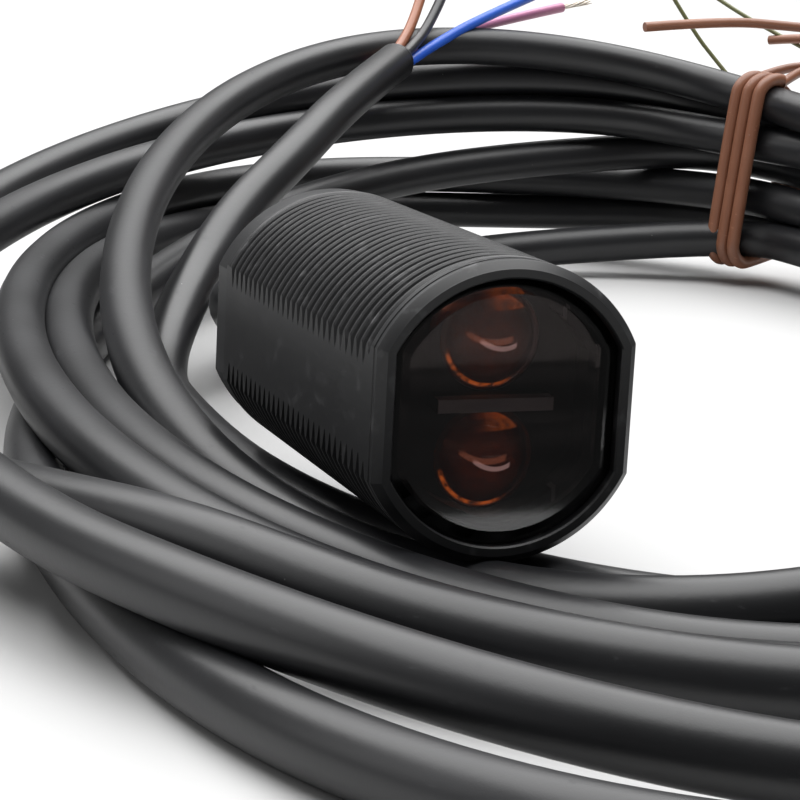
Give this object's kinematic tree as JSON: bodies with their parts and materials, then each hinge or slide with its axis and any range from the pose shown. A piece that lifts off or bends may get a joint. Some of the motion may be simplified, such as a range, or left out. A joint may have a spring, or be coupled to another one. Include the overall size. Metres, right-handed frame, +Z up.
{
  "type": "proximity sensor",
  "caption": "Cylindrical optical proximity sensor in a threaded, side-flatted plastic barrel with a smoked window over its lenses, a rear adjuster and a coiled, tied lead.",
  "frame": {"origin": "on the barrel's axis, in the plane of the front rim round the sensing window", "axes": "-Y is the way the sensor looks, +Y runs back along the barrel to the lead, +Z up with the emitter lens above the receiver lens, +X to the right; the two side flats face +X and -X"},
  "size_m": [0.1334, 0.1964, 0.048],
  "materials": {
    "barrel_plastic": "satin black moulded plastic",
    "window_plastic": "polished smoked plastic",
    "seal_rubber": "matte black rubber",
    "holder_plastic": "matte black plastic",
    "lens_plastic": "clear amber-tinted plastic",
    "led_plastic": "clear red plastic",
    "diode_plastic": "dark infrared-passing plastic",
    "board_laminate": "green solder mask on glass laminate",
    "chip_plastic": "moulded black package",
    "capacitor_ceramic": "tan ceramic",
    "resistor_ceramic": "dark film on ceramic",
    "trimmer_plastic": "blue moulded plastic",
    "adjuster_plastic": "cream moulded plastic",
    "guide_plastic": "clear orange plastic",
    "cap_plastic": "satin black moulded plastic",
    "bushing_rubber": "matte black elastomer",
    "clamp_metal": "nickel-plated steel",
    "cable_vinyl": "matte black vinyl",
    "core_brown": "brown vinyl",
    "core_black": "black vinyl",
    "core_blue": "blue vinyl",
    "core_pink": "pink vinyl",
    "conductor_tin": "tinned copper strands",
    "tie_plastic": "brown vinyl over wire"
  },
  "bodies": {
    "sensor": {"housing_barrel": "barrel_plastic", "front_window": "window_plastic", "window_seal": "seal_rubber", "lens_holder": "holder_plastic", "emitter_lens": "lens_plastic", "receiver_lens": "lens_plastic", "emitter_led": "led_plastic", "receiver_diode": "diode_plastic", "optics_board": "board_laminate", "main_board": "board_laminate", "controller_chip": "chip_plastic", "output_transistor": "chip_plastic", "voltage_regulator": "chip_plastic", "capacitors": "capacitor_ceramic", "resistors": "resistor_ceramic", "trimmer_body": "trimmer_plastic", "indicator_led": "led_plastic", "light_guide": "guide_plastic", "rear_cap": "cap_plastic", "cap_seal": "seal_rubber", "cable_bushing": "bushing_rubber", "clamp_ring": "clamp_metal", "jacket_entry": "cable_vinyl", "inner_core_brown": "core_brown", "inner_core_black": "core_black", "inner_core_blue": "core_blue", "inner_core_pink": "core_pink", "cable_lead": "cable_vinyl", "cable_coil": "cable_vinyl", "cable_tail": "cable_vinyl", "core_brown": "core_brown", "core_black": "core_black", "core_blue": "core_blue", "core_pink": "core_pink", "conductor_tips": "conductor_tin", "twist_tie": "tie_plastic"},
    "adjuster": {"adjuster_screw": "adjuster_plastic"}
  },
  "joints": [
    {"name": "adjuster_turn", "type": "hinge", "parent": "sensor", "child": "adjuster", "pos_m": [-0.0027, 0.0324, 0.004], "axis": [0, 1, 0], "range_deg": [-120, 120]}
  ]
}
